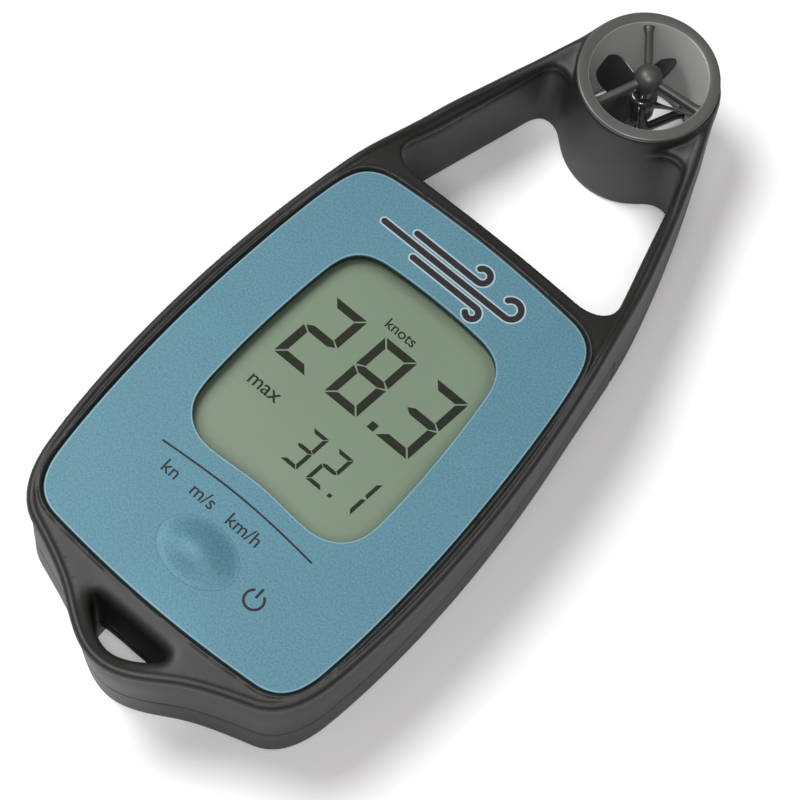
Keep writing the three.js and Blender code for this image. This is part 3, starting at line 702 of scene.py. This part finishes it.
def key_dome():
    """Low oval dome whose edge runs into the film, with a flange that keeps it in the case."""
    rise = [(r, FACE_Z + 1.3 * (1 - r ** 2) ** 1.9) for r in np.linspace(1, 0, 27)]
    points, faces = lathe([(0, FACE_Z - 3), (1, FACE_Z - 3), *rise], 0, 0)
    points = [(x * KEY_RX, KEY_Y + y * KEY_RY, z) for x, y, z in points]
    flange = plate([oval(KEY_RX + 0.9, KEY_RY + 0.9, 0, KEY_Y)], edge(FACE_Z - 2.35, FACE_Z - 3.4))
    points, faces = merged((points, faces), flange)
    piece("mode_button", points, faces, "key", "overlay", FILM, ["mode_button"], 60)


def display_window():
    """The clear pane let into the film."""
    points, faces = plate([offset(WINDOW, -0.08)], edge(FACE_Z - 0.4, FACE_Z - 1.6, 0.1))
    piece("display_window", points, faces, "case", "clear", CLEAR, ["display_window"])


SLANT = 0.095          # how far the digits lean
SEGMENTS = {"1": "bc", "2": "abged", "3": "abgcd", "8": "abcdefg"}


def segment_loops(digit, x, y, width, height, thick, slant):
    """Outlines of a seven-segment digit's bars. x, y is its lower left corner before slanting."""
    gap, half = thick * 0.14, height / 2
    bars = {
        "a": (0, height, width, height, -1), "d": (0, 0, width, 0, 1), "g": (0, half, width, half, 0),
        "f": (0, half, 0, height, 1), "b": (width, half, width, height, -1),
        "e": (0, 0, 0, half, 1), "c": (width, 0, width, half, -1),
    }
    loops = []
    for name in SEGMENTS[digit]:
        x0, y0, x1, y1, side = bars[name]
        if y0 == y1 and side:
            inner = y0 + side * thick
            bar = [(x0 + gap, y0), (x1 - gap, y0), (x1 - thick - gap, inner), (x0 + thick + gap, inner)]
        elif y0 == y1:
            t = thick / 2
            bar = [(x0 + gap + 0.1 * thick, y0), (x0 + thick, y0 + t), (x1 - thick, y0 + t),
                   (x1 - gap - 0.1 * thick, y0), (x1 - thick, y0 - t), (x0 + thick, y0 - t)]
        else:
            inner, low, high = x0 + side * thick, y0 + gap, y1 - gap
            cut_low = thick if y0 == 0 else thick / 2
            cut_high = thick if y1 == height else thick / 2
            bar = [(x0, low), (inner, low + cut_low), (inner, high - cut_high), (x0, high)]
        loop = np.array([(x + u + v * slant, y + v) for u, v in bar])
        area = np.sum(loop[:, 0] * np.roll(loop[:, 1], -1) - np.roll(loop[:, 0], -1) * loop[:, 1])
        loops.append(loop if area > 0 else loop[::-1])
    return loops


def flat_shapes(name, loops, z, material, slot, height=0.02):
    """Thin raised print with the loops' outlines."""
    parts = []
    for loop in loops:
        n = len(loop)
        points = [(x, y, z) for x, y in loop] + [(x, y, z + height) for x, y in loop]
        faces = [list(range(n))[::-1], list(range(n, 2 * n))]
        faces += [[i, (i + 1) % n, (i + 1) % n + n, i + n] for i in range(n)]
        parts.append((points, faces))
    points, faces = merged(*parts)
    piece(name, points, faces, "case", slot, material, (), 0)


def lettering(name, text, x, y, size, z, material, slot):
    """Thin raised words whose baseline starts at x, y."""
    curve = bpy.data.curves.new(name, "FONT")
    curve.body, curve.size, curve.extrude, curve.offset = text, size, 0.01, 0.02
    holder = bpy.data.objects.new(name, curve)
    bpy.context.scene.collection.objects.link(holder)
    bpy.context.view_layer.update()
    mesh = bpy.data.meshes.new_from_object(holder.evaluated_get(bpy.context.evaluated_depsgraph_get()))
    points = [(v.co.x + x, v.co.y + y, v.co.z + z) for v in mesh.vertices]
    faces = [list(p.vertices) for p in mesh.polygons]
    bpy.data.objects.remove(holder)
    piece(name, points, faces, "case", slot, material, (), 0)


def display_panel():
    """The cell. Its face is split in rings inside the window, and each point holds a painted shade that
    darkens it towards the window's edge, most on the left, where the edge's shadow falls.
    """
    box = rounded_box(-PANEL_WIDTH / 2, PANEL_WIDTH / 2, PANEL_LOW, PANEL_HIGH, 0.6)
    rings = [resample(offset(WINDOW, -inset), 0.8) for inset in (0, 0.4, 0.8, 1.3, 1.9, 2.6)]
    points, faces = plate([box], edge(LCD_TOP, LCD_TOP - 2.2, 0.1), rings)
    panel = piece("lcd_panel", points, faces, "case", "panel", PANEL, ["lcd_panel"], 0)
    shade = panel.data.attributes.new("painted_edge_shade", "FLOAT", "POINT")
    for entry, (x, y, _) in zip(shade.data, points):
        # painted shade: the colour is darkened within 2.4 mm of the window's edge, more towards the left, in
        # place of the edge's shadow
        depth = np.hypot(WINDOW[:, 0] - x, WINDOW[:, 1] - y).min() if inside(WINDOW, (x, y)) else 0.0
        darkest = 0.30 + 0.25 * (0.5 - 0.5 * math.tanh(x / 6))
        entry.value = 1 - darkest * (1 - smooth(depth, 0, 2.4))


def display_reading():
    """The segments and words that the display shows."""
    z = LCD_TOP + 0.005
    big = {"height": 12.6, "width": 6.2, "thick": 1.3, "slant": SLANT}
    small = {"height": 6.7, "width": 3.0, "thick": 0.62, "slant": SLANT}
    loops = []
    for digit, x in (("2", -13.0), ("8", -3.3), ("3", 6.5)):
        loops += segment_loops(digit, x, -15.2, **big)
    for digit, x in (("3", -1.25), ("2", 3.5), ("1", 9.0)):
        loops += segment_loops(digit, x, -27.1, **small)
    for x, y, width, height, lean in ((4.95, -15.2, 1.2, 1.3, 0.12), (7.6, -27.1, 0.6, 0.6, 0.06)):
        point = [(x, y), (x + width, y), (x + width + lean, y + height), (x + lean, y + height)]
        loops.append(np.array(point))
    flat_shapes("display_segments", loops, z, INK, "panel")
    lettering("display_unit", "knots", -3.6, -1.4, 2.45, z + 0.01, INK, "panel")
    lettering("display_mode", "max", -12.9, -21.4, 3.3, z + 0.01, INK, "panel")


def stroke(path, width):
    """A printed line of even width with round ends."""
    path = np.array(path, float)
    along = np.gradient(path, axis=0)
    along /= np.linalg.norm(along, axis=1, keepdims=True)
    normal = np.stack([-along[:, 1], along[:, 0]], 1) * width / 2
    caps = []
    for end, sign in ((-1, 1), (0, -1)):
        start = math.atan2(normal[end][1] * sign, normal[end][0] * sign)
        angles = [start - math.pi * i / 10 for i in range(1, 10)]
        caps.append([path[end] + width / 2 * np.array((math.cos(a), math.sin(a))) for a in angles])
    return np.vstack([path + normal, caps[0], (path - normal)[::-1], caps[1]])[::-1]


def circle_arc(x, y, radius, start, end):
    """Points along a circle between two angles in degrees."""
    angles = np.radians(np.linspace(start, end, 30))
    return [(x + radius * math.cos(a), y + radius * math.sin(a)) for a in angles]


def curled(x0, x1, y, curl, turn=1):
    """A straight stretch that ends in a hook; turn is 1 for a hook upwards and -1 for one downwards."""
    line = [(x, y) for x in np.linspace(x0, x1, 15)]
    hook = []
    for i in range(1, 19):
        angle = math.radians(-90 + 235 * i / 18)
        hook.append((x1 + curl * math.cos(angle), y + turn * (curl + curl * math.sin(angle))))
    return line + hook


def printed_marks():
    """Generic print on the film: a wind sign, a fine rule over a list of units and a standby sign."""
    z = FACE_Z + 0.002
    lines = [curled(-9.0, 2.6, 12.5, 1.2), curled(-14.0, 9.2, 10.8, 1.55), curled(-7.0, 5.2, 9.1, 1.0, -1)]
    halo = [stroke(path, 1.5) for path in lines]
    ink = [stroke(path, 1.0) for path in lines]
    flat_shapes("wind_sign_halo", halo, z, PALE, "overlay", 0.010)
    flat_shapes("wind_sign", ink, z, PRINT, "overlay", 0.022)
    lettering("unit_list", "kn   m/s   km/h", -12.6, -40.4, 3.0, z + 0.01, PRINT, "overlay")
    rule = [(x, -36.9 + 0.9 * math.sin((x + 15) / 30 * math.pi)) for x in np.linspace(-15, 13, 40)]
    sign_x, sign_y, sign_r = 10.6, KEY_Y, 1.5
    ring = circle_arc(sign_x, sign_y, sign_r, 130, 410)
    bar = [(sign_x, sign_y + t) for t in np.linspace(0.5, 1.9, 4)]
    loops = [stroke(rule, 0.32), stroke(ring, 0.4), stroke(bar, 0.4)]
    flat_shapes("face_marks", loops, z, PRINT, "overlay", 0.014)


# ------------------------------------------------------------------ turbine
def turbine_sleeve():
    """The duct, with the rim that sits on the housing's tube."""
    wall, rim, seat = 10.1, TUBE_R - 0.02, RIM_Z - 0.8
    outer = eased([(wall, 0.4), (wall, seat), (rim, seat), (rim, RIM_Z), (DUCT_R, RIM_Z)], 0.42, 6)
    mouth = [(DUCT_R + 0.28, RIM_Z), (DUCT_R + 0.08, RIM_Z - 0.08), (DUCT_R, RIM_Z - 0.28)]
    inner = eased([(DUCT_R, RIM_Z), (DUCT_R, 4), (DUCT_R + 0.2, 0.4)], 0.3, 4)
    profile = outer[:-1] + mouth + inner[2:]
    points, faces = lathe(profile, count=160, closed=True)
    piece("turbine_sleeve", points, faces, "case", "cartridge", RIM, ["turbine_sleeve"], 40)


def strut(angle, width, z_hub, z_rim, depth):
    """Radial bar with a rounded section that swells where it meets the hub and the wall."""
    start, end = 1.2, DUCT_R - 0.02
    c, s = math.cos(math.radians(angle)), math.sin(math.radians(angle))
    sections = []
    for i in range(17):
        t = i / 16
        r = start + (end - start) * t
        swell = 1 + 0.55 * max(0, 1 - t * 6) ** 2 + 0.45 * max(0, t * 7 - 6) ** 2
        z = z_hub + (z_rim - z_hub) * t
        section = []
        for k in range(16):
            a = 2 * math.pi * k / 16
            u = width / 2 * swell * math.copysign(abs(math.cos(a)) ** 0.6, math.cos(a))
            v = depth / 2 * swell ** 0.5 * math.copysign(abs(math.sin(a)) ** 0.6, math.sin(a))
            section.append((r * c - u * s, TUBE_Y + r * s + u * c, z + v))
        sections.append(section)
    return loft(sections)


def spiders():
    """Hubs on three bars that hold the bushes. The upper hub is a ball-shaped cap."""
    ball = [(0, 19.4), (1.9, 19.4), (2.12, 20.1), (2.22, 21.2), (2.12, 22.1), (1.68, 22.9), (0.95, 23.35),
            (0, 23.5)]
    bars = [strut(angle, 1.25, 21.2, 20.6, 1.5) for angle in STRUTS]
    upper = merged(lathe(eased(ball, 0.5, 5)), *bars)
    piece("upper_spider", *upper, "case", "cartridge", SPIDER, ["upper_spider"], 45)
    cup = [(0, 0.6), (1.4, 0.7), (2.2, 1.5), (2.4, 2.4), (2.4, 5.4), (0, 5.4)]
    bars = [strut(angle + 60, 1.25, 2.6, 2.4, 1.9) for angle in STRUTS]
    lower = merged(lathe(eased(cup, 0.4, 4)), *bars)
    piece("lower_spider", *lower, "case", "cartridge", BLACK, ["lower_spider"], 45)


def bearings():
    """Two bushes with a blind hole, the upper one's mouth down and the lower one's up."""
    upper = [(0, 20.4), (0.62, 20.3), (0.62, 17.2), (1.3, 17.2), (1.7, 17.6), (1.7, 19.2), (1.25, 19.2),
             (1.25, 20.9), (0, 20.9)]
    lower = [(0, 4.3), (1.25, 4.3), (1.25, 5.5), (1.7, 5.5), (1.7, 9.2), (1.3, 9.6), (0.62, 9.6),
             (0.62, 4.9), (0, 4.8)]
    for name, profile in (("upper_bearing", upper), ("lower_bearing", lower)):
        piece(name, *lathe(eased(profile, 0.12, 3), count=48), "case", "steel", STEEL, [name])


def vane(angle):
    """Twisted blade: rows run from hub to tip, columns from leading to trailing edge."""
    rows, columns = 18, 20
    root_r, tip_r, middle_z, chord, sweep = 1.7, 8.88, 13.5, 5.6, 32
    sections = []
    for i in range(rows + 1):
        t = i / rows
        r = root_r + (tip_r - root_r) * t
        narrowing = 1 - 0.1 * t ** 2 - 0.42 * t ** 7
        thickest = (0.36 - 0.14 * t) * (1 + 0.8 * max(0, 1 - t * 8) ** 2)
        upper, lower = [], []
        for j in range(columns + 1):
            s = (j / columns - 0.5) * narrowing
            z = middle_z - s * chord
            turn = math.radians(angle + s * sweep * min(1.5, 0.75 + 2 / r))
            half = thickest * math.sqrt(max(0.02, 1 - (2 * j / columns - 1) ** 2))
            for side, bucket in ((1, upper), (-1, lower)):
                bucket.append((r * math.cos(turn) - side * half * math.sin(turn),
                               TUBE_Y + r * math.sin(turn) + side * half * math.cos(turn), z))
        sections.append(upper + lower[::-1])
    points, faces = loft(sections)
    return points, [face[::-1] for face in faces]


def impeller():
    """Waisted hub with five vanes, and the pointed shaft that it turns on."""
    profile = [(0.6, 10.5), (2.0, 10.5), (2.3, 11.0), (2.1, 13.5), (2.3, 16.0), (1.9, 16.5), (0.6, 16.5)]
    hub = lathe(eased(profile, 0.4, 5), closed=True)
    vanes = [vane(172 + 360 / VANES * k) for k in range(VANES)]
    piece("impeller", *merged(hub, *vanes), "rotor", "black", VANE, ["impeller"], 50)
    profile = [(0, 4.9), (0.25, 5.3), (0.5, 6), (0.5, 19.2), (0.25, 19.9), (0, 20.3)]
    shaft = lathe(eased(profile, 0.1, 3), count=40)
    piece("impeller_shaft", *shaft, "rotor", "steel", STEEL, ["impeller_shaft"])


# ------------------------------------------------------------------ back
def cross_loop(x, y, size, width):
    """Outline of a screw's cross recess."""
    s, w = size / 2, width / 2
    return np.array([(s, -w), (s, w), (w, w), (w, s), (-w, s), (-w, w), (-s, w), (-s, -w), (-w, -w), (-w, -s),
                     (w, -s), (w, -w)]) + (x, y)


def housing_screws():
    """Pan heads with a cross recess, sunk in the back."""
    for k, (x, y) in enumerate(SCREWS):
        head = plate([oval(2.2, 2.2, x, y, 48), cross_loop(x, y, 2.4, 0.62)],
                     [(0.32, 2.2), (0.1, 2.3), (0, 2.55), (0, 2.9)])
        base = lathe([(0, 2.9), (2.2, 2.9), (2.2, 3.9), (1, 3.92), (1, 13), (0.3, 14.5), (0, 14.5)], x, y, 32)
        points, faces = merged(head, base)
        piece(f"housing_screw_{k + 1}", points, faces, "case", "steel", STEEL, [f"housing_screw_{k + 1}"])


def battery_cover():
    """Coin-slotted disc with a hollow boss behind it and three bayonet lugs."""
    coin_slot = rounded_box(-6.5, 6.5, CELL_Y - 0.9, CELL_Y + 0.9, 0.88)
    disc = plate([oval(COVER_R, COVER_R, 0, CELL_Y, 128), coin_slot],
                 [(0.5, 0.2), (0.15, 0.32), (0, 0.6), (0, 1.3)])
    boss = [(0, 1.3), (COVER_R, 1.3), (COVER_R, 2.6), (11, 2.6), (11, 4.4), (9.6, 4.4), (9.6, 3.2), (0, 3.2)]
    back = lathe(eased(boss, 0.1, 2), 0, CELL_Y, 128)
    lugs = []
    for k in range(3):
        angles = np.radians(np.linspace(120 * k - 19, 120 * k + 19, 14))
        loop = [(13.4 * math.cos(a), CELL_Y + 13.4 * math.sin(a)) for a in angles]
        loop += [(11.4 * math.cos(a), CELL_Y + 11.4 * math.sin(a)) for a in angles[::-1]]
        lugs.append(plate([np.array(loop)], [(0, 1.25), (0, 2.6)]))
    points, faces = merged(disc, back, *lugs)
    piece("battery_cover", points, faces, "cover", "housing", HOUSING, ["battery_cover"], 40)


# ------------------------------------------------------------------ stage
def add_floor():
    mesh = bpy.data.meshes.new("floor")
    mesh.from_pydata([(-2, -2, 0), (2, -2, 0), (2, 2, 0), (-2, 2, 0)], [], [(0, 1, 2, 3)])
    floor = bpy.data.objects.new("floor", mesh)
    mesh.materials.append(plastic("paper_floor", (0.93, 0.93, 0.93), 0.85, vary=0.01, bump=0.02, blotch=0.2))
    bpy.context.scene.collection.objects.link(floor)


def add_sky():
    """Soft surrounding light that grows from the horizon upwards."""
    world = bpy.data.worlds.new("studio")
    world.use_nodes = True
    nodes, links = world.node_tree.nodes, world.node_tree.links
    place, split, rise = (nodes.new("ShaderNode" + kind) for kind in ("TexCoord", "SeparateXYZ", "MapRange"))
    rise.inputs["From Min"].default_value = 0.0
    rise.inputs["From Max"].default_value = 0.9
    rise.inputs["To Min"].default_value = 0.12
    rise.inputs["To Max"].default_value = 0.36
    links.new(place.outputs["Generated"], split.inputs["Vector"])
    links.new(split.outputs["Z"], rise.inputs["Value"])
    links.new(rise.outputs["Result"], nodes["Background"].inputs["Strength"])
    nodes["Background"].inputs["Color"].default_value = (1.0, 0.955, 0.945, 1)
    bpy.context.scene.world = world


def lamp(name, kind, place, target, power):
    light = bpy.data.objects.new(name, bpy.data.lights.new(name, kind))
    light.data.energy = power
    light.location = place
    light.rotation_euler = (target - light.location).to_track_quat("-Z", "Y").to_euler()
    bpy.context.scene.collection.objects.link(light)
    return light.data


def add_lights():
    """Two soft boxes, and two narrow beams that reach the floor through the duct and the lanyard hole."""
    boxes = (("key_light", (-0.31, -0.03, 0.65), 4.2), ("front_light", (0.144, -0.24, 0.70), 2.1))
    beams = (("duct_light", TUBE_Y, 2.1, 9), ("loop_light", -62, 1.3, 12))
    for name, place, power in boxes:
        light = lamp(name, "AREA", place, Vector((0, 0, 0.01)), power)
        light.shape = "DISK"
        light.size = 0.30
    for name, y, cone, power in beams:
        target = Vector((-1.5, y, 4)) * MM
        to_camera = (bpy.context.scene.camera.location - target).normalized()
        light = lamp(name, "SPOT", target + 0.6 * to_camera, target, power)
        light.spot_size = math.radians(cone)
        light.spot_blend = 0.4
        light.shadow_soft_size = 0.01


dress_cad_nodes()
housing("front_housing", front_field, -0.6, 24.0, HOUSING)
housing("rear_housing", rear_field, -0.6, 9.6, HOUSING)
face_overlay()
key_dome()
display_window()
display_panel()
display_reading()
printed_marks()
turbine_sleeve()
spiders()
bearings()
impeller()
housing_screws()
battery_cover()
add_floor()
add_sky()
add_lights()
bpy.context.scene.view_settings.view_transform = "Standard"
